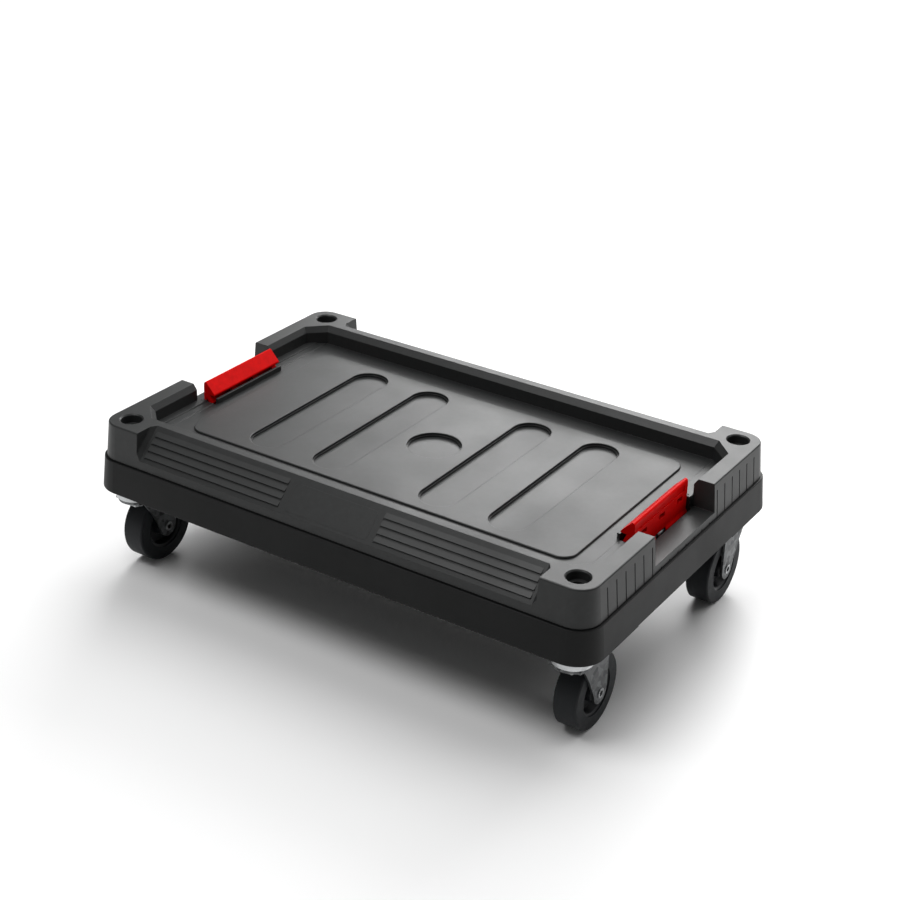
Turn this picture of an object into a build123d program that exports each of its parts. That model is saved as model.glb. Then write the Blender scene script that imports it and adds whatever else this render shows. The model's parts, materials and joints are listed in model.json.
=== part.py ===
from build123d import *
import os

os.makedirs("parts", exist_ok=True)

# Rolling base for stackable tool boxes. Millimetres, floor at z = 0,
# X along the length, Y across, origin under the middle of the base.

# ---------------------------------------------------------------- driving dimensions
Z_RIM = 166.5                 # top of the rim above the floor
Z_SEAM = 129.2                # tray sits on the frame here
Z_SKIRT = 95.0                # lower edge of the frame skirt
DRAFT = 5.7                   # degrees, mould draft of the outer walls
TRAY_HX, TRAY_HY, TRAY_R = 278.9, 183.9, 23.3     # tray half sizes at the seam
FRAME_HX, FRAME_HY, FRAME_R = 284.6, 189.6, 29.0  # frame half sizes at the skirt edge

Z_PANEL = 149.0               # top of the raised deck panel
Z_DECK = 147.0                # deck around the panel
Z_STRIP = 148.9               # raised strip along each short end
Z_LEDGE, Z_SLOT = 146.6, 144.8  # ledge and floor of the deck slots
Z_POCKET = 137.2              # floor of the open latch pockets
OPEN_X, OPEN_Y = 258.5, 146.0  # inner edge of the rim top
BAY_X, BAY_Y = 254.3, 140.5    # inner wall of the rim
BAY_DROP = 6.0                # height of the lead-in chamfer inside the rim
RECESS_X = 227.0              # half length of the sloped side recesses
SLOPE_Y = 155.0               # top edge of the 45 degree slope
GAP_Y = 60.5                  # half width of the latch gap in the end rims

POST_X, POST_Y = 253.25, 159.15   # stacking sockets, caster bolts and swivel axes
SOCKET_R, SOCKET_DEPTH = 10.75, 9.0
HEAD_BORE_R, HEAD_SEAT = 6.75, 139.5
BOLT_R, BOLT_BORE_R = 4.0, 4.2

PIN_X, PIN_Z, PIN_R = 250.0, 132.3, 2.0   # latch pivot
LATCH_Y = 53.2                # half length of a latch
TRENCH_X0, TRENCH_X1, TRENCH_Y = 236.5, 256.5, 54.5

WHEEL_R, WHEEL_W, TRAIL = 37.5, 24.0, 28.0
TYRE_IN = 24.0                # inner radius of the tyre band
FORK_IN, FORK_T = 13.0, 2.5   # half gap between fork legs, sheet thickness
CROWN_Z = 81.5                # top of the fork crown
RACE_R, RACE_TOP = 19.8, 90.2
CUP_Z = 91.0                  # lower face of the fixed cup
MOUNT_Z = 96.5                # caster mounting face
KINGPIN_R, SWIVEL_BORE_R = 6.5, 6.55
BALLS = 14

END_PITCH = 16.5              # pitch of the end-face grooves
BAND_DROPS = (7.9, 13.35, 18.9, 24.3)     # lower edges of the grip bands, below the rim
BAND_RISE, BAND_RUN = 1.1, 5.6            # each band swells from flush to this height over this run


def octagon(hx, hy, cx, cy):
    """Corner points of a rectangle with its corners cut at cx, cy."""
    return [(hx, -cy), (hx, cy), (cx, hy), (-cx, hy), (-hx, cy), (-hx, -cy), (-cx, -hy), (cx, -hy)]


def prism_y(points, y0, y1):
    """Extrude an XZ outline from y0 to y1."""
    with BuildPart(mode=Mode.PRIVATE) as p:
        with BuildSketch(Plane.XZ.offset(-y0)):
            Polygon(*points, align=None)
        extrude(amount=-(y1 - y0))
    return p.part


def prism_x(points, x0, x1):
    """Extrude a YZ outline from x0 to x1."""
    with BuildPart(mode=Mode.PRIVATE) as p:
        with BuildSketch(Plane.YZ.offset(x0)):
            Polygon(*points, align=None)
        extrude(amount=x1 - x0)
    return p.part


# ---------------------------------------------------------------- top tray
deck_slots = [-139.5, -62.3, 62.3, 139.5]
with BuildPart() as top_tray:
    with BuildSketch(Plane.XY.offset(Z_SEAM)):
        RectangleRounded(2 * TRAY_HX, 2 * TRAY_HY, TRAY_R)
    extrude(amount=Z_RIM - Z_SEAM, taper=DRAFT)
    fillet(top_tray.faces().sort_by(Axis.Z)[-1].edges(), 1.6)

    # bay inside the rim: straight walls, then a lead-in chamfer
    with BuildSketch(Plane.XY.offset(Z_DECK)):
        Polygon(*octagon(BAY_X, BAY_Y, 236.8, 123.8), align=None)
    extrude(amount=Z_RIM - BAY_DROP - Z_DECK, mode=Mode.SUBTRACT)
    with BuildSketch(Plane.XY.offset(Z_RIM - BAY_DROP)):
        Polygon(*octagon(BAY_X, BAY_Y, 236.8, 123.8), align=None)
    with BuildSketch(Plane.XY.offset(Z_RIM)):
        Polygon(*octagon(OPEN_X, OPEN_Y, 239.0, 126.0), align=None)
    loft(mode=Mode.SUBTRACT)

    # raised deck panel with a chamfered edge
    with BuildSketch(Plane.XY.offset(Z_DECK - 0.5)):
        RectangleRounded(440.0, 229.0, 15.0)
    extrude(amount=Z_PANEL - Z_DECK - 0.3)
    with BuildSketch(Plane.XY.offset(Z_PANEL - 0.8)):
        RectangleRounded(440.0, 229.0, 15.0)
    extrude(amount=0.8, taper=45)

    # stepped slots and round recess in the panel, with rounded top edges
    for inset, top, floor in ((0.8, Z_PANEL, Z_LEDGE), (1.8, Z_LEDGE, Z_SLOT)):
        with BuildSketch(Plane.XY.offset(top)):
            with Locations(*[(x, 0) for x in deck_slots]):
                SlotOverall(208.0 - 2 * inset, 42.0 - 2 * inset, rotation=90)
            Circle(28.0 - inset)
        extrude(amount=floor - top, mode=Mode.SUBTRACT)
        if top == Z_PANEL:
            fillet([e for e in top_tray.edges() if abs(e.center().Z - Z_PANEL) < 0.01
                    and abs(e.bounding_box().max.Z - e.bounding_box().min.Z) < 0.01
                    and abs(e.center().X) < 165 and abs(e.center().Y) < 106], 0.8)

    # stepped strips along the short ends, and the kerbs before the latches
    for s in (-1, 1):
        add(prism_y([(s * 237.6, Z_DECK - 0.5), (s * 237.6, Z_DECK), (s * 238.1, Z_DECK + 0.5),
                     (s * 245.4, Z_DECK + 0.5), (s * 246.4, Z_STRIP), (s * 256, Z_STRIP),
                     (s * 256, Z_DECK - 0.5)], -138.0, 138.0))
        with Locations((s * 235.0, 0, Z_DECK - 0.5)):
            Box(3.0, 104.0, 6.0, align=(Align.CENTER, Align.CENTER, Align.MIN))

    # latch gap and pocket, open to the outside, and the trench under the latch
    for s in (-1, 1):
        with Locations((s * 280.0, 0, Z_POCKET)):
            Box(51.8, 2 * GAP_Y, 60.0, align=(Align.CENTER, Align.CENTER, Align.MIN), mode=Mode.SUBTRACT)
        with Locations((s * (TRENCH_X0 + TRENCH_X1) / 2, 0, 100)):
            Box(TRENCH_X1 - TRENCH_X0, 2 * TRENCH_Y, 90, align=(Align.CENTER, Align.CENTER, Align.MIN),
                mode=Mode.SUBTRACT)

    # sloped recesses along both long sides
    for s in (-1, 1):
        with BuildSketch(Plane.YZ.offset(-RECESS_X)):
            Polygon((s * SLOPE_Y, Z_RIM), (s * 183.4, Z_RIM - 28.4), (s * 215, Z_RIM - 28.4),
                    (s * 215, Z_RIM + 3), (s * SLOPE_Y, Z_RIM + 3), align=None)
        extrude(amount=2 * RECESS_X, mode=Mode.SUBTRACT)

    # bevelled inner corners where each slope meets the end walls of its recess
    corner_lines = [e for e in top_tray.edges().filter_by(GeomType.LINE)
                    if abs(abs(e.center().X) - RECESS_X) < 0.01 and 5 < Z_RIM - e.center().Z < 25
                    and abs(abs(e.tangent_at(0).Z) - 0.7071) < 0.01]
    chamfer(corner_lines, 4.3)
    top_lines = [e for e in top_tray.edges().filter_by(GeomType.LINE)
                 if abs(e.center().Z - Z_RIM) < 0.01 and abs(abs(e.center().Y) - SLOPE_Y) < 0.01]
    fillet(top_lines, 1.0)

    # grip bands: shallow wedges with a step and a groove at the lower edge
    for s in (-1, 1):
        for drop in BAND_DROPS:
            y, z, up, out = SLOPE_Y + drop, Z_RIM - drop, BAND_RUN / 2 ** 0.5, BAND_RISE / 2 ** 0.5
            outline = [(y - 0.4, z - 0.4), (y + out, z + out), (y - up, z + up), (y - up - 0.4, z + up - 0.4)]
            for x0 in (-219.5, 54.5):
                add(prism_x([(s * py, pz) for py, pz in outline], x0, x0 + 165.0))
                with Locations((x0 + 82.5, s * (y + 0.4), z - 0.4)):
                    Box(165.0, 1.1, 2.8, rotation=(s * 45, 0, 0), mode=Mode.SUBTRACT)

    # upright grooves on the end faces; short notches under the latch gap
    for s in (-1, 1):
        for k in range(-9, 10):
            tall = abs(k) > 3
            top = Z_RIM - 8.0 if tall else Z_SEAM + 2.6
            height = top - Z_SEAM + 1.0
            mid = Z_SEAM - 1.0 + height / 2
            face_x = TRAY_HX - 0.0998 * (mid - Z_SEAM)
            with Locations((s * face_x, k * END_PITCH, mid)):
                Box(2.2, 1.6, height, rotation=(0, -s * DRAFT, 0), mode=Mode.SUBTRACT)

    # shadow line above the seam
    with BuildSketch(Plane.XY.offset(Z_SEAM)):
        RectangleRounded(2 * TRAY_HX + 20, 2 * TRAY_HY + 20, TRAY_R + 10)
        RectangleRounded(2 * TRAY_HX - 2.4, 2 * TRAY_HY - 2.4, TRAY_R - 1.2, mode=Mode.SUBTRACT)
    extrude(amount=0.8, mode=Mode.SUBTRACT)

    # hollows on the underside leave walls, ribs and posts
    with Locations(*[(x, y, Z_SEAM) for x in (-188, -113, -38, 38, 113, 188) for y in (-102, -34, 34, 102)]):
        Box(72.0, 65.0, Z_SLOT - 3.0 - Z_SEAM, align=(Align.CENTER, Align.CENTER, Align.MIN), mode=Mode.SUBTRACT)
    for s in (-1, 1):
        with Locations(*[(s * 239.5, y, Z_SEAM) for y in (-102, 102)]):
            Box(25.0, 65.0, 13.5, align=(Align.CENTER, Align.CENTER, Align.MIN), mode=Mode.SUBTRACT)
        with Locations(*[(s * 266.0, y, Z_SEAM) for y in (-101, 101)]):
            Box(15.0, 72.0, 32.5, align=(Align.CENTER, Align.CENTER, Align.MIN), mode=Mode.SUBTRACT)
        with Locations((s * 266.5, 0, Z_SEAM)):
            Box(16.0, 108.0, 4.8, align=(Align.CENTER, Align.CENTER, Align.MIN), mode=Mode.SUBTRACT)
        for x in (-185, -111, -37, 37, 111, 185):
            with BuildSketch(Plane.YZ.offset(x - 35.0)):
                Polygon((s * 144, Z_SEAM), (s * 144, Z_RIM - 5), (s * 155.2, Z_RIM - 5),
                        (s * 179.5, Z_RIM - 29.3), (s * 179.5, Z_SEAM), align=None)
            extrude(amount=70.0, mode=Mode.SUBTRACT)

    # pivot lugs at the trench ends, screw bosses
    with Locations(*[(sx * 250.0, sy * 58.5, Z_SEAM - 1.0) for sx in (-1, 1) for sy in (-1, 1)]):
        Box(12.0, 8.0, 4.0, align=(Align.CENTER, Align.CENTER, Align.MIN))
    screw_spots = [(x, y) for x in (-150.0, -75.5, 75.5, 150.0) for y in (-68.0, 68.0)]
    with Locations(*[(x, y, Z_SEAM - 2.0) for x, y in screw_spots]):
        Cylinder(5.0, 15.0, align=(Align.CENTER, Align.CENTER, Align.MIN))
    with Locations(*[(x, y, Z_SEAM - 2.0) for x, y in screw_spots]):
        Cylinder(2.0, 11.0, align=(Align.CENTER, Align.CENTER, Align.MIN), mode=Mode.SUBTRACT)
    for sx in (-1, 1):
        with Locations((sx * PIN_X, 0, PIN_Z)):
            Cylinder(PIN_R, 118.4, rotation=(90, 0, 0), mode=Mode.SUBTRACT)

    # small round holes beside the latch ends
    with Locations(*[(sx * 250.5, sy * 57.6, Z_STRIP) for sx in (-1, 1) for sy in (-1, 1)]):
        Cylinder(0.9, 5.0, align=(Align.CENTER, Align.CENTER, Align.MAX), mode=Mode.SUBTRACT)

    # corner sockets over the caster bolts
    corners_xy = [(sx * POST_X, sy * POST_Y) for sx in (-1, 1) for sy in (-1, 1)]
    with Locations(*[(x, y, Z_RIM) for x, y in corners_xy]):
        Cone(SOCKET_R, SOCKET_R + 1.3, 1.3, align=(Align.CENTER, Align.CENTER, Align.MAX), mode=Mode.SUBTRACT)
        Cylinder(SOCKET_R, SOCKET_DEPTH, align=(Align.CENTER, Align.CENTER, Align.MAX), mode=Mode.SUBTRACT)
        Cylinder(HEAD_BORE_R, Z_RIM - HEAD_SEAT, align=(Align.CENTER, Align.CENTER, Align.MAX),
                 mode=Mode.SUBTRACT)
        Cylinder(BOLT_BORE_R, 60.0, align=(Align.CENTER, Align.CENTER, Align.MAX), mode=Mode.SUBTRACT)
top_tray.part.label = "top_tray"
export_step(top_tray.part, "parts/top_tray.step")

# ---------------------------------------------------------------- base frame
with BuildPart() as base_frame:
    with BuildSketch(Plane.XY.offset(Z_SKIRT)):
        RectangleRounded(2 * FRAME_HX, 2 * FRAME_HY, FRAME_R)
    extrude(amount=Z_SEAM - Z_SKIRT, taper=DRAFT)
    chamfer(base_frame.faces().sort_by(Axis.Z)[-1].edges(), 0.4)
    fillet(base_frame.faces().sort_by(Axis.Z)[0].edges(), 1.2)

    # shallow tray seat inside the ledge, hollow underside inside the skirt
    with BuildSketch(Plane.XY.offset(Z_SEAM)):
        RectangleRounded(2 * 272.0, 2 * 177.0, 16.0)
    extrude(amount=-2.0, mode=Mode.SUBTRACT)
    with BuildSketch(Plane.XY.offset(Z_SKIRT - 1.0)):
        RectangleRounded(2 * (FRAME_HX - 3.2), 2 * (FRAME_HY - 3.2), FRAME_R - 3.2)
    extrude(amount=Z_SEAM - 5.0 - Z_SKIRT + 1.0, taper=DRAFT, mode=Mode.SUBTRACT)
    with Locations(*[(x, 0, Z_SEAM - 10.0) for x in (-190.0, 0.0, 190.0)]):
        Box(90.0, 96.0, 20.0, mode=Mode.SUBTRACT)

    # ribs under the top plate and the caster posts
    for x in (-225.0, -112.5, -50.0, 50.0, 112.5, 225.0):
        with Locations((x, 0, Z_SEAM - 4.0)):
            Box(3.0, 366.0, 7.0, align=(Align.CENTER, Align.CENTER, Align.MAX))
    for y in (-130.0, -52.0, 52.0, 130.0):
        with Locations((0, y, Z_SEAM - 4.0)):
            Box(556.0, 3.0, 7.0, align=(Align.CENTER, Align.CENTER, Align.MAX))
    with Locations(*[(x, y, MOUNT_Z) for x, y in corners_xy]):
        Cylinder(18.5, Z_SEAM - MOUNT_Z, align=(Align.CENTER, Align.CENTER, Align.MIN))
        Cylinder(BOLT_BORE_R, Z_SEAM - MOUNT_Z, align=(Align.CENTER, Align.CENTER, Align.MIN),
                 mode=Mode.SUBTRACT)
    with Locations(*[(x, y, Z_SEAM - 5.0) for x, y in screw_spots]):
        Cylinder(2.3, 20.0, mode=Mode.SUBTRACT)

    # the skirt is cut back a little between the casters on both ends
    for s in (-1, 1):
        with Locations((s * FRAME_HX, 0, Z_SKIRT)):
            Box(12.0, 196.0, 3.6, mode=Mode.SUBTRACT)
base_frame.part.label = "base_frame"
export_step(base_frame.part, "parts/base_frame.step")

with BuildPart() as tray_screws:
    with Locations(*[(x, y, Z_SEAM - 5.0) for x, y in screw_spots]):
        Cylinder(4.0, 2.6, align=(Align.CENTER, Align.CENTER, Align.MAX))
        Cylinder(1.98, 12.0, align=(Align.CENTER, Align.CENTER, Align.MIN))
    with Locations(*[(x, y, Z_SEAM - 7.6) for x, y in screw_spots]):
        Box(4.6, 1.0, 2.6, mode=Mode.SUBTRACT)
        Box(1.0, 4.6, 2.6, mode=Mode.SUBTRACT)
tray_screws.part.label = "tray_screws"
export_step(tray_screws.part, "parts/tray_screws.step")

# ---------------------------------------------------------------- box latches
LATCH_BODY = [(251.4, -30.6), (251.3, -3.2), (250.9, 0.2), (249.8, 1.5), (248.2, 1.8), (237.6, -9.4),
              (237.1, -10.4), (237.3, -11.5), (246.6, -11.8), (248.2, -13.0), (248.2, -30.6)]
LATCH_LEG = [(248.6, -11.6), (243.6, -12.2), (240.2, -20.0), (241.2, -21.8), (243.0, -22.0), (248.6, -14.6)]
LATCH_WEB = [(248.2, -29.8), (251.4, -29.8), (253.2, -34.2), (246.8, -34.2)]
LEG_SPOTS = [(-53.2, -46.2), (-20.0, -12.0), (14.0, 22.0), (46.2, 53.2)]
KNUCKLES = [(-LATCH_Y, -10.5), (10.5, LATCH_Y)]
WINDOWS = (-34.0, 2.0, 38.0)

for side, s in (("left", -1), ("right", 1)):
    def mirrored(points):
        return [(s * x, Z_RIM + z) for x, z in points]

    with BuildPart() as latch:
        add(prism_y(mirrored(LATCH_BODY), -LATCH_Y, LATCH_Y))
        for y0, y1 in LEG_SPOTS:
            add(prism_y(mirrored(LATCH_LEG), y0, y1))
        for y0, y1 in KNUCKLES:
            add(prism_y(mirrored(LATCH_WEB), y0, y1))
            with Locations((s * PIN_X, (y0 + y1) / 2, PIN_Z)):
                Cylinder(3.3, y1 - y0, rotation=(90, 0, 0))
        with Locations((s * PIN_X, 0, PIN_Z)):
            Cylinder(PIN_R + 0.05, 2 * LATCH_Y, rotation=(90, 0, 0), mode=Mode.SUBTRACT)
        # finger channel and three small windows in the outer face
        with Locations((s * 251.6, 1.0, Z_RIM - 5.7)):
            Box(3.2, 93.0, 6.2, mode=Mode.SUBTRACT)
        with Locations(*[(s * 250.0, y, Z_RIM - 14.7) for y in WINDOWS]):
            Box(8.0, 11.5, 4.8, mode=Mode.SUBTRACT)
    latch.part.label = f"latch_{side}"
    export_step(latch.part, f"parts/latch_{side}.step")

    with BuildPart() as latch_pin:
        with Locations((s * PIN_X, 0, PIN_Z)):
            Cylinder(PIN_R, 118.0, rotation=(90, 0, 0))
        chamfer(latch_pin.edges().filter_by(GeomType.CIRCLE), 0.4)
    latch_pin.part.label = f"latch_pin_{side}"
    export_step(latch_pin.part, f"parts/latch_pin_{side}.step")

    # close-wound torsion spring round the pin: one leg presses up on the latch, one down on the frame
    with BuildPart() as latch_spring:
        with BuildSketch(Plane(origin=(s * PIN_X, 0, PIN_Z), x_dir=(0, 0, 1), z_dir=(1, 0, 0))):
            with Locations(*[(2.65, 0.95 * (k - 5)) for k in range(11)]):
                Circle(0.5)
        revolve(axis=Axis((s * PIN_X, 0, PIN_Z), (0, 1, 0)))
        with Locations((s * (PIN_X + 3.0), -4.75, PIN_Z + 2.65), (s * (PIN_X + 3.0), 4.75, PIN_Z - 2.65)):
            Cylinder(0.5, 6.0, rotation=(0, 90, 0))
    latch_spring.part.label = f"latch_spring_{side}"
    export_step(latch_spring.part, f"parts/latch_spring_{side}.step")

# ---------------------------------------------------------------- swivel casters
FORK_LEG = [(-13.0, CROWN_Z), (-12.0, 79.0), (-5.1, 77.0), (6.0, 60.5), (15.6, 38.2)]
FORK_BACK = [(39.4, 40.5), (39.6, 57.0), (39.6, 74.0), (34.0, CROWN_Z)]
RACE_PROFILE = [(SWIVEL_BORE_R, CROWN_Z), (18.4, CROWN_Z), (RACE_R, 83.0), (RACE_R, 89.2), (18.8, RACE_TOP),
                (17.6, RACE_TOP), (17.6, 86.0), (SWIVEL_BORE_R, 86.0)]
CUP_PROFILE = [(4.15, CUP_Z), (16.0, CUP_Z), (17.0, 92.0), (17.0, MOUNT_Z), (4.15, MOUNT_Z)]
KINGPIN_PROFILE = [(4.15, 77.5), (8.8, 77.5), (8.8, 78.9), (KINGPIN_R, 78.9), (KINGPIN_R, CUP_Z), (4.15, CUP_Z)]
TYRE_PROFILE = [(-12, TYRE_IN), (-12, 36.3), (-10.8, WHEEL_R), (10.8, WHEEL_R), (12, 36.3), (12, TYRE_IN)]
HUB_PROFILE = [(-11.9, 6.05), (-11.9, 9.5), (-10.5, 10.2), (-3.2, 11.5), (-3.2, 19.5), (-9.8, 21.6), (-10.8, TYRE_IN),
               (10.8, TYRE_IN), (9.8, 21.6), (3.2, 19.5), (3.2, 11.5), (10.5, 10.2), (11.9, 9.5), (11.9, 6.05)]

for name, sx, sy in (("front_left", -1, -1), ("front_right", 1, -1), ("rear_left", -1, 1), ("rear_right", 1, 1)):
    t = -sy                                  # wheels trail towards the middle of the base
    cx, cy = sx * POST_X, sy * POST_Y
    wy = cy + t * TRAIL
    stack = Plane(origin=(cx, cy, 0), x_dir=(t, 0, 0), z_dir=(0, -t, 0))      # radius, height
    wheel = Plane(origin=(cx, wy, WHEEL_R), x_dir=(1, 0, 0), z_dir=(0, -1, 0))  # axle, radius
    up = Axis((cx, cy, 0), (0, 0, 1))
    axle_line = Axis((cx, wy, WHEEL_R), (1, 0, 0))

    with BuildPart() as caster_bolt:
        with Locations((cx, cy, HEAD_SEAT)):
            Cylinder(6.5, 8.0, align=(Align.CENTER, Align.CENTER, Align.MIN))
            Cylinder(BOLT_R, 70.0, align=(Align.CENTER, Align.CENTER, Align.MAX))
        with BuildSketch(Plane.XY.offset(HEAD_SEAT + 8.0)):
            with Locations((cx, cy)):
                RegularPolygon(3.0, 6, major_radius=False)
        extrude(amount=-4.5, mode=Mode.SUBTRACT)
    caster_bolt.part.label = f"caster_bolt_{name}"
    export_step(caster_bolt.part, f"parts/caster_bolt_{name}.step")

    with BuildPart() as caster_nut:
        with BuildSketch(Plane.XY.offset(71.0)):
            with Locations((cx, cy)):
                RegularPolygon(6.5, 6, major_radius=False)
                Circle(BOLT_R + 0.02, mode=Mode.SUBTRACT)
        extrude(amount=6.5)
    caster_nut.part.label = f"caster_nut_{name}"
    export_step(caster_nut.part, f"parts/caster_nut_{name}.step")

    for label, profile in (("caster_cup", CUP_PROFILE), ("kingpin", KINGPIN_PROFILE), ("race_ring", RACE_PROFILE)):
        with BuildPart() as turned:
            with BuildSketch(stack):
                Polygon(*profile, align=None)
            revolve(axis=up)
        turned.part.label = f"{label}_{name}"
        export_step(turned.part, f"parts/{label}_{name}.step")

    with BuildPart() as race_balls:
        with Locations((cx, cy, 88.4)):
            with PolarLocations(12.2, BALLS):
                Sphere(2.4)
    race_balls.part.label = f"race_balls_{name}"
    export_step(race_balls.part, f"parts/race_balls_{name}.step")

    with BuildPart() as fork:
        for px in (-FORK_IN - FORK_T, FORK_IN):
            with BuildSketch(Plane(origin=(cx + px, cy, 0), x_dir=(0, t, 0), z_dir=(t, 0, 0)).offset(0)):
                with BuildLine():
                    arc = CenterArc((TRAIL, WHEEL_R), 10.8, 180, 180)
                    Polyline(*[(y, z) for y, z in FORK_LEG[:-1]], arc @ 0)
                    Polyline(arc @ 1, *[(y, z) for y, z in FORK_BACK], FORK_LEG[0])
                make_face()
            extrude(amount=t * FORK_T)
        with BuildSketch(Plane(origin=(cx, cy, CROWN_Z), x_dir=(1, 0, 0), z_dir=(0, 0, 1))):
            with Locations((0, t * 10.5)):
                Rectangle(2 * (FORK_IN + FORK_T), 47.0)
            Circle(18.2)
        extrude(amount=-FORK_T)
        with Locations((cx, cy, CROWN_Z)):
            Cylinder(SWIVEL_BORE_R, 10.0, mode=Mode.SUBTRACT)
        with Locations((cx, wy, WHEEL_R)):
            Cylinder(BOLT_R + 0.03, 40.0, rotation=(0, 90, 0), mode=Mode.SUBTRACT)
    fork.part.label = f"fork_{name}"
    export_step(fork.part, f"parts/fork_{name}.step")

    for label, profile in (("tyre", TYRE_PROFILE), ("wheel_hub", HUB_PROFILE)):
        with BuildPart() as turned:
            with BuildSketch(wheel):
                Polygon(*profile, align=None)
            revolve(axis=axle_line)
        turned.part.label = f"{label}_{name}"
        export_step(turned.part, f"parts/{label}_{name}.step")

    with BuildPart() as axle_bush:
        with Locations((cx, wy, WHEEL_R)):
            Cylinder(6.0, 2 * FORK_IN - 0.04, rotation=(0, 90, 0))
            Cylinder(BOLT_R + 0.03, 40.0, rotation=(0, 90, 0), mode=Mode.SUBTRACT)
    axle_bush.part.label = f"axle_bush_{name}"
    export_step(axle_bush.part, f"parts/axle_bush_{name}.step")

    with BuildPart() as thrust_washers:
        with Locations(*[(cx + g * 12.55, wy, WHEEL_R) for g in (-1, 1)]):
            Cylinder(9.0, 0.7, rotation=(0, 90, 0))
            Cylinder(6.03, 0.7, rotation=(0, 90, 0), mode=Mode.SUBTRACT)
    thrust_washers.part.label = f"thrust_washers_{name}"
    export_step(thrust_washers.part, f"parts/thrust_washers_{name}.step")

    with BuildPart() as axle_rivet:
        with Locations((cx, wy, WHEEL_R)):
            Cylinder(BOLT_R, 2 * (FORK_IN + FORK_T) + 2.0, rotation=(0, 90, 0))
        with Locations(*[(cx + g * (FORK_IN + FORK_T + 0.5), wy, WHEEL_R) for g in (-1, 1)]):
            Cylinder(4.9, 1.0, rotation=(0, 90, 0))
        with Locations((cx, wy, WHEEL_R)):
            Cylinder(2.7, 60.0, rotation=(0, 90, 0), mode=Mode.SUBTRACT)
    axle_rivet.part.label = f"axle_rivet_{name}"
    export_step(axle_rivet.part, f"parts/axle_rivet_{name}.step")
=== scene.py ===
# %% [markdown]
# # A rolling base for tool boxes
#
# The base is two black plastic mouldings, a tray on a frame, with a red latch at each end and
# four swivel wheels underneath. Its solids come ready made at real size. This lesson gives every
# one of them the finish of its real material, adds the thin pieces that solids leave out, and
# sets up a small photo studio round it.

# %% Load the solids
import json
import math

import bpy
from mathutils import Matrix, Vector


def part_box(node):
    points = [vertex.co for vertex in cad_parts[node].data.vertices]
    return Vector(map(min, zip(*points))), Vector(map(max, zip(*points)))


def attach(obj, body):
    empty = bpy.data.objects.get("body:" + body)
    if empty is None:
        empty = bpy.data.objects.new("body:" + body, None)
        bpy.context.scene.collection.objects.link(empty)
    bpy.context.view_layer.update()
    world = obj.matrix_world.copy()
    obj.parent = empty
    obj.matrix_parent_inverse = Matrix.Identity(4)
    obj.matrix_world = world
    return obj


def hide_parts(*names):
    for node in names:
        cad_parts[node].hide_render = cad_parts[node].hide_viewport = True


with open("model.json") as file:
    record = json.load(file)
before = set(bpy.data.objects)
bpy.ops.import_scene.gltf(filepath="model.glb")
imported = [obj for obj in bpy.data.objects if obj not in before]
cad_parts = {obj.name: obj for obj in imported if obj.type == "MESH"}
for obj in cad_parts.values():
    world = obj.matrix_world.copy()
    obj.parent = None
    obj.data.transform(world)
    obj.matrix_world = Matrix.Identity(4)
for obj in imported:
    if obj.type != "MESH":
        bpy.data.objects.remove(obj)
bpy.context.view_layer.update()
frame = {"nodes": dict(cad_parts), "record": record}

# %% [markdown]
# ## Small helpers
#
# Colours are picked as the hex codes a paint program shows. Shaders work with linear light, so
# one function converts them. A second function adds a shader node with its settings and links in
# one call, which keeps each finish short enough to read as a recipe.

# %% Helpers for colours and shader nodes
MM = 0.001


def linear(code):
    """A hex colour as linear red, green, blue, alpha."""
    parts = [int(code[i:i + 2], 16) / 255 for i in (1, 3, 5)]
    return tuple(p / 12.92 if p <= 0.04045 else ((p + 0.055) / 1.055) ** 2.4 for p in parts) + (1.0,)


def add_node(tree, kind, values=None, links=None, **settings):
    """Adds one shader node: settings first, then socket values, then links into its sockets."""
    made = tree.nodes.new(kind)
    for key, value in settings.items():
        setattr(made, key, value)
    for socket, value in (values or {}).items():
        made.inputs[socket].default_value = value
    for socket, source in (links or {}).items():
        tree.links.new(source, made.inputs[socket])
    return made


def per_metre(size_mm):
    """Texture scale that gives features of about this size."""
    return 1.0 / (size_mm * MM)


def new_material(name):
    """An empty material with its output and shader, and its node tree."""
    made = bpy.data.materials.new(name)
    made.use_nodes = True
    tree = made.node_tree
    shader = tree.nodes["Principled BSDF"]
    return made, tree, shader


print("white in linear light:", linear("#FFFFFF")[:3])

# %% [markdown]
# ## Moulded plastic
#
# The tray, the frame and the latches are injection moulded. The steel mould is spark eroded, so
# the plastic carries a fine grain that breaks up reflections, and the flow of the melt leaves
# slow changes of gloss across wide faces. Corners get rubbed and look a little paler. Such grain
# is usually about half a millimetre. It is drawn a little coarser so that it shows.
# The Bevel node rounds the light on sharp edges by the radius a mould has there.

# %% Recipe for moulded plastic


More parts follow.
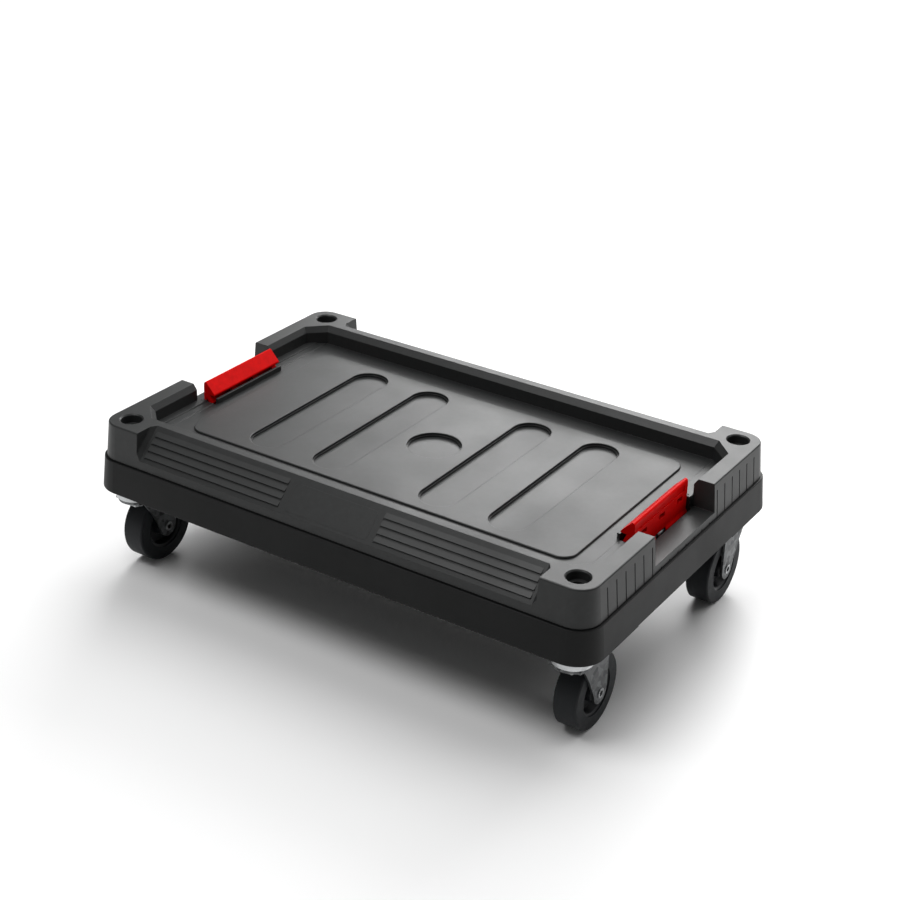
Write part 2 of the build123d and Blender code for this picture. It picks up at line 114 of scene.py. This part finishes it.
def moulded_plastic(name, base, worn, grain_mm, grain_depth_mm, gloss, edge_mm, shine=0.3):
    """gloss is the pair of roughness values that the flow marks wander between."""
    made, tree, shader = new_material(name)
    place = add_node(tree, "ShaderNodeTexCoord").outputs["Object"]
    round_edge = add_node(tree, "ShaderNodeBevel", {"Radius": edge_mm * MM}, samples=6)
    true_face = add_node(tree, "ShaderNodeNewGeometry").outputs["Normal"]

    # how far the rounded normal leans away from the flat one marks the edges
    lean = add_node(tree, "ShaderNodeVectorMath", operation="DOT_PRODUCT")
    tree.links.new(round_edge.outputs["Normal"], lean.inputs[0])
    tree.links.new(true_face, lean.inputs[1])
    edge = add_node(tree, "ShaderNodeMapRange", {1: 0.995, 2: 0.82, 3: 0.0, 4: 1.0},
                    {0: lean.outputs["Value"]}, clamp=True)

    flow = add_node(tree, "ShaderNodeTexNoise", {"Scale": per_metre(90), "Detail": 3.0, "Roughness": 0.55},
                    {"Vector": place})
    speck = add_node(tree, "ShaderNodeTexNoise", {"Scale": per_metre(7), "Detail": 4.0, "Roughness": 0.7},
                     {"Vector": place})
    grain = add_node(tree, "ShaderNodeTexNoise", {"Scale": per_metre(grain_mm), "Detail": 2.0,
                                                  "Roughness": 0.6},
                     {"Vector": place})

    tone = add_node(tree, "ShaderNodeMapRange", {1: 0.3, 2: 0.7, 3: 0.88, 4: 1.12}, {0: speck.outputs["Fac"]})
    shade = add_node(tree, "ShaderNodeVectorMath", {0: linear(base)[:3]}, operation="SCALE")
    tree.links.new(tone.outputs[0], shade.inputs["Scale"])
    rub = add_node(tree, "ShaderNodeMath", {1: 0.5}, {0: edge.outputs[0]}, operation="MULTIPLY")
    colour = add_node(tree, "ShaderNodeMix", {7: linear(worn)}, {0: rub.outputs[0], 6: shade.outputs[0]},
                      data_type="RGBA")
    tree.links.new(colour.outputs[2], shader.inputs["Base Color"])

    rough = add_node(tree, "ShaderNodeMapRange", {1: 0.3, 2: 0.7, 3: gloss[0], 4: gloss[1]},
                     {0: flow.outputs["Fac"]})
    tree.links.new(rough.outputs[0], shader.inputs["Roughness"])

    bump = add_node(tree, "ShaderNodeBump", {"Strength": 1.0, "Distance": grain_depth_mm * MM},
                    {"Height": grain.outputs["Fac"], "Normal": round_edge.outputs["Normal"]})
    tree.links.new(bump.outputs["Normal"], shader.inputs["Normal"])
    shader.inputs["IOR"].default_value = 1.49
    shader.inputs["Specular IOR Level"].default_value = shine
    return made


finishes = {
    # talc-filled polypropylene: charcoal, satin, fine spark-eroded grain
    "tray_plastic": moulded_plastic("moulded_polypropylene_charcoal", "#2A2B2B", "#3E3F3F", 0.9, 0.012,
                                    (0.36, 0.46), 0.35),
    # the frame is the same resin from another mould, a shade darker and duller
    "frame_plastic": moulded_plastic("moulded_polypropylene_black", "#0E0F0F", "#232424", 1.0, 0.016,
                                     (0.44, 0.54), 0.4, shine=0.2),
    # the latches are polished in the mould, so they are glossier and smoother
    "latch_plastic": moulded_plastic("moulded_abs_signal_red", "#D00505", "#DC1A16", 1.6, 0.004,
                                     (0.36, 0.46), 0.4, shine=0.04),
    # wheel centres: hard polypropylene with a cold, bluish black
    "hub_plastic": moulded_plastic("moulded_polypropylene_wheel", "#17191C", "#3B3F44", 1.0, 0.010,
                                   (0.36, 0.48), 0.5),
    # washers are left in nylon's own milky colour
    "washer_nylon": moulded_plastic("turned_nylon_natural", "#8C8B84", "#A5A49C", 1.2, 0.006,
                                    (0.40, 0.50), 0.2),
}
print("plastics:", sorted(finishes))

# %% [markdown]
# ## Rubber treads
#
# The wheels run on grey-black thermoplastic rubber. It is duller than the plastic, and the part
# that touches the floor picks up pale dust and fine scuffs that run round the wheel.

# %% Recipe for the rubber


def tread_rubber(name, base, dust, roughness):
    made, tree, shader = new_material(name)
    place = add_node(tree, "ShaderNodeTexCoord").outputs["Object"]
    # scuffs: noise squeezed across the wheel's width and drawn out round it
    stretch = add_node(tree, "ShaderNodeMapping", {"Scale": (6.0, 1.0, 1.0)}, {"Vector": place})
    scuff = add_node(tree, "ShaderNodeTexNoise", {"Scale": per_metre(9), "Detail": 5.0, "Roughness": 0.75},
                     {"Vector": stretch.outputs["Vector"]})
    patch = add_node(tree, "ShaderNodeMapRange", {1: 0.52, 2: 0.74, 3: 0.0, 4: 0.30},
                     {0: scuff.outputs["Fac"]})
    colour = add_node(tree, "ShaderNodeMix", {6: linear(base), 7: linear(dust)}, {0: patch.outputs[0]},
                      data_type="RGBA")
    tree.links.new(colour.outputs[2], shader.inputs["Base Color"])
    rough = add_node(tree, "ShaderNodeMapRange", {1: 0.3, 2: 0.7, 3: roughness - 0.06, 4: roughness + 0.1},
                     {0: scuff.outputs["Fac"]})
    tree.links.new(rough.outputs[0], shader.inputs["Roughness"])
    round_edge = add_node(tree, "ShaderNodeBevel", {"Radius": 1.0 * MM}, samples=6)
    grain = add_node(tree, "ShaderNodeTexNoise", {"Scale": per_metre(0.8), "Detail": 2.0}, {"Vector": place})
    bump = add_node(tree, "ShaderNodeBump", {"Strength": 1.0, "Distance": 0.014 * MM},
                    {"Height": grain.outputs["Fac"], "Normal": round_edge.outputs["Normal"]})
    tree.links.new(bump.outputs["Normal"], shader.inputs["Normal"])
    shader.inputs["IOR"].default_value = 1.5
    shader.inputs["Specular IOR Level"].default_value = 0.3
    return made


finishes["tyre_rubber"] = tread_rubber("thermoplastic_rubber_grey_black", "#15181B", "#2A2D30", 0.6)
print("rubber:", finishes["tyre_rubber"].name)

# %% [markdown]
# ## Plated and galvanised steel
#
# The forks are pressed from hot-dip galvanised sheet, whose zinc freezes into flat crystals a few
# millimetres wide, each with its own grey. The races, bolts and nuts are zinc plated: brighter
# and even, with fine marks. One recipe covers them all. It takes the crystal size, how rough the
# metal is and how far that wanders from crystal to crystal.

# %% Recipe for the steel pieces


def zinc_steel(name, dark, light, crystal_mm, roughness, spread, mark_mm=0.35, edge_mm=0.3):
    """spread is how far the roughness wanders from crystal to crystal."""
    made, tree, shader = new_material(name)
    place = add_node(tree, "ShaderNodeTexCoord").outputs["Object"]
    wobble = add_node(tree, "ShaderNodeTexNoise", {"Scale": per_metre(crystal_mm * 1.5), "Detail": 3.0},
                      {"Vector": place})
    nudge = add_node(tree, "ShaderNodeVectorMath", {1: (crystal_mm * MM * 0.8,) * 3},
                     {0: wobble.outputs["Color"]}, operation="MULTIPLY")
    moved = add_node(tree, "ShaderNodeVectorMath", {}, {0: place, 1: nudge.outputs[0]}, operation="ADD")
    crystal = add_node(tree, "ShaderNodeTexVoronoi", {"Scale": per_metre(crystal_mm)},
                       {"Vector": moved.outputs[0]})
    tint = add_node(tree, "ShaderNodeSeparateColor", {}, {0: crystal.outputs["Color"]})
    colour = add_node(tree, "ShaderNodeMix", {6: linear(dark), 7: linear(light)}, {0: tint.outputs[0]},
                      data_type="RGBA")
    tree.links.new(colour.outputs[2], shader.inputs["Base Color"])
    rough = add_node(tree, "ShaderNodeMapRange", {1: 0.0, 2: 1.0, 3: roughness - spread,
                                                  4: roughness + spread},
                     {0: tint.outputs[1]})
    tree.links.new(rough.outputs[0], shader.inputs["Roughness"])
    marks = add_node(tree, "ShaderNodeTexNoise", {"Scale": per_metre(mark_mm), "Detail": 1.0},
                     {"Vector": place})
    round_edge = add_node(tree, "ShaderNodeBevel", {"Radius": edge_mm * MM}, samples=6)
    bump = add_node(tree, "ShaderNodeBump", {"Strength": 0.6, "Distance": 0.006 * MM},
                    {"Height": marks.outputs["Fac"], "Normal": round_edge.outputs["Normal"]})
    tree.links.new(bump.outputs["Normal"], shader.inputs["Normal"])
    shader.inputs["Metallic"].default_value = 1.0
    return made


finishes.update({
    # forks: dull crystals of mixed grey
    "fork_steel": zinc_steel("galvanised_steel_sheet", "#4A4B4C", "#747677", 5.0, 0.46, 0.10),
    # race rings: bright zinc that mirrors the floor
    "race_zinc": zinc_steel("zinc_plated_steel_bright", "#A9ABAC", "#C4C6C7", 9.0, 0.24, 0.04),
    "cup_steel": zinc_steel("zinc_plated_steel", "#A9ABAC", "#C6C8C9", 8.0, 0.32, 0.05),
    "bolt_steel": zinc_steel("zinc_plated_bolt_steel", "#8F9192", "#B4B6B7", 4.0, 0.36, 0.06),
    "screw_steel": zinc_steel("yellow_zinc_screw_steel", "#A8A080", "#C9C29C", 3.0, 0.36, 0.06),
    "rivet_steel": zinc_steel("zinc_plated_rivet_steel", "#8C8E8F", "#B0B2B3", 3.0, 0.34, 0.06),
    "bush_steel": zinc_steel("turned_steel", "#8A8B8B", "#A8A9A9", 3.0, 0.30, 0.04),
    "ball_steel": zinc_steel("polished_bearing_steel", "#BFC0C2", "#D6D7D9", 6.0, 0.12, 0.02, edge_mm=0.05),
    "pin_steel": zinc_steel("blackened_steel_rod", "#3A3B3D", "#505254", 3.0, 0.42, 0.05),
    "spring_steel": zinc_steel("drawn_spring_wire", "#77797B", "#96989A", 2.0, 0.34, 0.05, edge_mm=0.05),
})
print("steels:", sum("steel" in m.name or "wire" in m.name for m in finishes.values()))

# %% [markdown]
# ## Dress the solids
#
# Each solid names the slot its finish belongs to. Giving it the matching material touches
# neither its mesh nor its place.

# %% Give every solid its finish
slot_of = {part["node"]: part["material_slot"] for part in frame["record"]["subparts"]}
for name, solid in frame["nodes"].items():
    solid.data.materials.clear()
    solid.data.materials.append(finishes[slot_of[name]])
print("dressed:", len(slot_of), "missing:", [n for n in frame["nodes"] if n not in slot_of])

# %% [markdown]
# ## Label films
#
# The middle of each sloping side is left free of grip bands for a label. What sits there is a
# thin film of the tray's own resin with rounded corners, left blank here. It starts as one flat
# face, gets its thickness by extruding that face, and its corners and rim are rounded with the
# bevel tool.

# %% Model a film and copy it to both slopes
FILM_LONG, FILM_TALL, FILM_THICK = 94 * MM, 29 * MM, 0.15 * MM
SLOPE_MIDDLE = Vector((0.0, 0.1703, 0.1512))
SUNK = 0.04 * MM   # how far the film's underside lies below the slope, so no gap shows


def clear_selection():
    if bpy.context.object and bpy.context.object.mode != "OBJECT":
        bpy.ops.object.mode_set(mode="OBJECT")
    bpy.ops.object.select_all(action="DESELECT")


clear_selection()
bpy.ops.mesh.primitive_plane_add(size=1.0, location=(0, 0, 0))
film = bpy.context.object
film.name = "label_film_front"
film.scale = (FILM_LONG, FILM_TALL, 1.0)
bpy.ops.object.transform_apply(location=False, rotation=False, scale=True)
bpy.ops.object.mode_set(mode="EDIT")
bpy.ops.mesh.select_all(action="SELECT")
bpy.ops.mesh.extrude_region_move(TRANSFORM_OT_translate={"value": (0, 0, FILM_THICK)})
bpy.ops.mesh.select_all(action="SELECT")
bpy.ops.mesh.normals_make_consistent(inside=False)
bpy.ops.mesh.select_mode(type="EDGE")
bpy.ops.mesh.select_all(action="DESELECT")
bpy.ops.object.mode_set(mode="OBJECT")
for edge in film.data.edges:
    a, b = (film.data.vertices[i].co for i in edge.vertices)
    edge.select = abs(a.z - b.z) > FILM_THICK / 2
bpy.ops.object.mode_set(mode="EDIT")
bpy.ops.mesh.bevel(offset=4.0 * MM, segments=8, profile=0.5)
bpy.ops.object.mode_set(mode="OBJECT")
rim = film.modifiers.new("rim", "BEVEL")
rim.width, rim.segments, rim.limit_method = 0.05 * MM, 2, "ANGLE"
bpy.ops.object.modifier_apply(modifier=rim.name)

films = [film, film.copy()]
films[1].data = film.data.copy()
films[1].name = "label_film_back"
bpy.context.collection.objects.link(films[1])
for piece, side in zip(films, (-1, 1)):
    out = Vector((0, side, 1)).normalized()
    along = Vector((-side, 0, 0))
    turn = Matrix((along, out.cross(along), out)).transposed().to_4x4()
    spot = Vector((0, side * SLOPE_MIDDLE.y, SLOPE_MIDDLE.z)) - out * SUNK
    piece.data.transform(Matrix.Translation(spot) @ turn)
    piece.data.materials.append(finishes["tray_plastic"])
    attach(piece, "base")
print("films:", [p.name for p in films], "faces each:", len(film.data.polygons))

# %% [markdown]
# ## Latch springs
#
# A torsion spring is wound round each latch pin. One leg presses down on the frame and the other
# up on the latch, so when the latch tilts only that upper leg goes with it. The solid is one
# rigid piece, which would cut through the tilted latch. Here the spring is two pieces: a row of
# close-wound rings with the lower leg, which stays with the base, and the upper leg, which rides
# on the latch. The rings are torus primitives and the legs are cylinders.

# %% Wind the springs and let each upper leg ride on its latch
WIRE_RADIUS, COIL_RADIUS = 0.5 * MM, 2.65 * MM
RING_COUNT, RING_PITCH = 11, 0.95 * MM
# the upper leg swings down beside the tray wall, so it is the shorter one
LOWER_LEG, UPPER_LEG = 6.0 * MM, 5.0 * MM


def spring_leg(name, length, start_x, y, z):
    """A straight leg of wire along X. A negative length points it the other way."""
    clear_selection()
    bpy.ops.mesh.primitive_cylinder_add(vertices=20, radius=WIRE_RADIUS, depth=abs(length),
                                        location=(start_x + length / 2, y, z), rotation=(0,
                                                                                         math.radians(90), 0))
    bpy.context.object.name = name
    return bpy.context.object


def settle(piece, node, body):
    """Puts a finished piece's place into its mesh and gives it its finish and its body."""
    clear_selection()
    piece.select_set(True)
    bpy.context.view_layer.objects.active = piece
    bpy.ops.object.transform_apply(location=True, rotation=True, scale=True)
    bpy.ops.object.shade_smooth_by_angle(angle=math.radians(40))
    piece.data.materials.clear()
    piece.data.materials.append(finishes["spring_steel"])
    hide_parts(node)
    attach(piece, body)


for side, s in (("left", -1), ("right", 1)):
    node = f"latch_spring_{side}"
    low, high = (Vector(corner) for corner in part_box(f"latch_pin_{side}"))
    pin = (low + high) / 2
    end_y = RING_PITCH * (RING_COUNT - 1) / 2
    coil = spring_leg(f"{node}_coil", s * LOWER_LEG, pin.x, end_y, pin.z - COIL_RADIUS)
    rings = [coil]
    for k in range(RING_COUNT):
        clear_selection()
        bpy.ops.mesh.primitive_torus_add(major_radius=COIL_RADIUS, minor_radius=WIRE_RADIUS,
                                         major_segments=40, minor_segments=14,
                                         location=(pin.x, RING_PITCH * k - end_y, pin.z),
                                         rotation=(math.radians(90), 0, 0))
        rings.append(bpy.context.object)
    clear_selection()
    for ring in rings:
        ring.select_set(True)
    bpy.context.view_layer.objects.active = coil
    bpy.ops.object.join()
    settle(coil, node, "base")
    leg = spring_leg(f"{node}_upper_leg", s * UPPER_LEG, pin.x, -end_y, pin.z + COIL_RADIUS)
    settle(leg, node, f"latch_{side}_body")
    print(node, "at", tuple(round(c, 4) for c in pin), "rings:", RING_COUNT)

# %% [markdown]
# ## The studio
#
# The base stands on a pale floor under four soft lamps. A wide one stands low behind it, a
# little to the left, so the deck mirrors it. One at the right lights the end faces, one high
# above lights the floor, and one at the front lifts the sloping sides. The sky adds an even fill.

# %% Floor
clear_selection()
bpy.ops.mesh.primitive_grid_add(x_subdivisions=8, y_subdivisions=8, size=24.0, location=(0, 4, 0))
floor = bpy.context.object
floor.name = "studio_floor"
floor_paint, tree, shader = new_material("matt_studio_paint")
place = add_node(tree, "ShaderNodeTexCoord").outputs["Object"]
cloud = add_node(tree, "ShaderNodeTexNoise", {"Scale": 1.5, "Detail": 2.0}, {"Vector": place})
tone = add_node(tree, "ShaderNodeMix", {6: linear("#F2F2F2"), 7: linear("#F6F6F6")},
                {0: cloud.outputs["Fac"]},
                data_type="RGBA")
tree.links.new(tone.outputs[2], shader.inputs["Base Color"])
shader.inputs["Roughness"].default_value = 0.55
floor.data.materials.append(floor_paint)
print("floor:", tuple(round(d, 1) for d in floor.dimensions))

# %% Lamps and sky


def soft_lamp(name, place, aim, size, power):
    """A rectangular softbox at place, facing aim."""
    light = bpy.data.lights.new(name, "AREA")
    light.shape, (light.size, light.size_y), light.energy = "RECTANGLE", size, power
    lamp = bpy.data.objects.new(name, light)
    bpy.context.collection.objects.link(lamp)
    lamp.location = place
    lamp.rotation_euler = (Vector(aim) - Vector(place)).to_track_quat("-Z", "Y").to_euler()
    return lamp


soft_lamp("lamp_behind", (-0.60, 2.85, 1.65), (0.05, 0.0, 0.1), (2.8, 1.1), 84)
soft_lamp("lamp_right", (2.0, 1.6, 2.3), (0.0, 0.0, 0.1), (1.4, 1.2), 12)
soft_lamp("lamp_above", (-0.4, 2.6, 4.2), (0.0, 1.2, 0.0), (5.0, 4.0), 150)
soft_lamp("lamp_front", (-0.6, -1.0, 2.6), (0.0, 0.0, 0.1), (1.3, 1.3), 36)
sky = bpy.data.worlds.new("studio_sky")
sky.use_nodes = True
sky.node_tree.nodes["Background"].inputs["Color"].default_value = linear("#FFFFFF")
sky.node_tree.nodes["Background"].inputs["Strength"].default_value = 0.15
bpy.context.scene.world = sky
bpy.context.scene.view_settings.view_transform = "Standard"

# %% [markdown]
# ## The camera
#
# A short telephoto lens looks down on the front right of the base from about 1.7 metres away,
# which keeps the long sides nearly parallel.

# %% Camera
AZIMUTH, ELEVATION, ROLL = (math.radians(d) for d in (32.556, 27.189, 1.772))
TARGET = Vector((0.03684, -0.02824, 0.1665))
DISTANCE = 1.65799
back = Vector((math.sin(AZIMUTH) * math.cos(ELEVATION), -math.cos(AZIMUTH) * math.cos(ELEVATION),
               math.sin(ELEVATION)))
right = Vector((math.cos(AZIMUTH), math.sin(AZIMUTH), 0))
up = back.cross(right)
tilted_right = right * math.cos(ROLL) + up * math.sin(ROLL)
tilted_up = up * math.cos(ROLL) - right * math.sin(ROLL)
lens = bpy.data.cameras.new("studio_camera")
lens.lens, lens.sensor_width, lens.clip_end = 68.86, 36.0, 100.0
camera = bpy.data.objects.new("studio_camera", lens)
bpy.context.collection.objects.link(camera)
turn = Matrix((tilted_right, tilted_up, back)).transposed().to_4x4()
camera.matrix_world = Matrix.Translation(TARGET + back * DISTANCE) @ turn
bpy.context.scene.camera = camera
print("camera at", tuple(round(c, 3) for c in camera.location))

# %% [markdown]
# ## Finish
#
# The last call brings the scene up to date.

# %% Update the scene
bpy.context.view_layer.update()
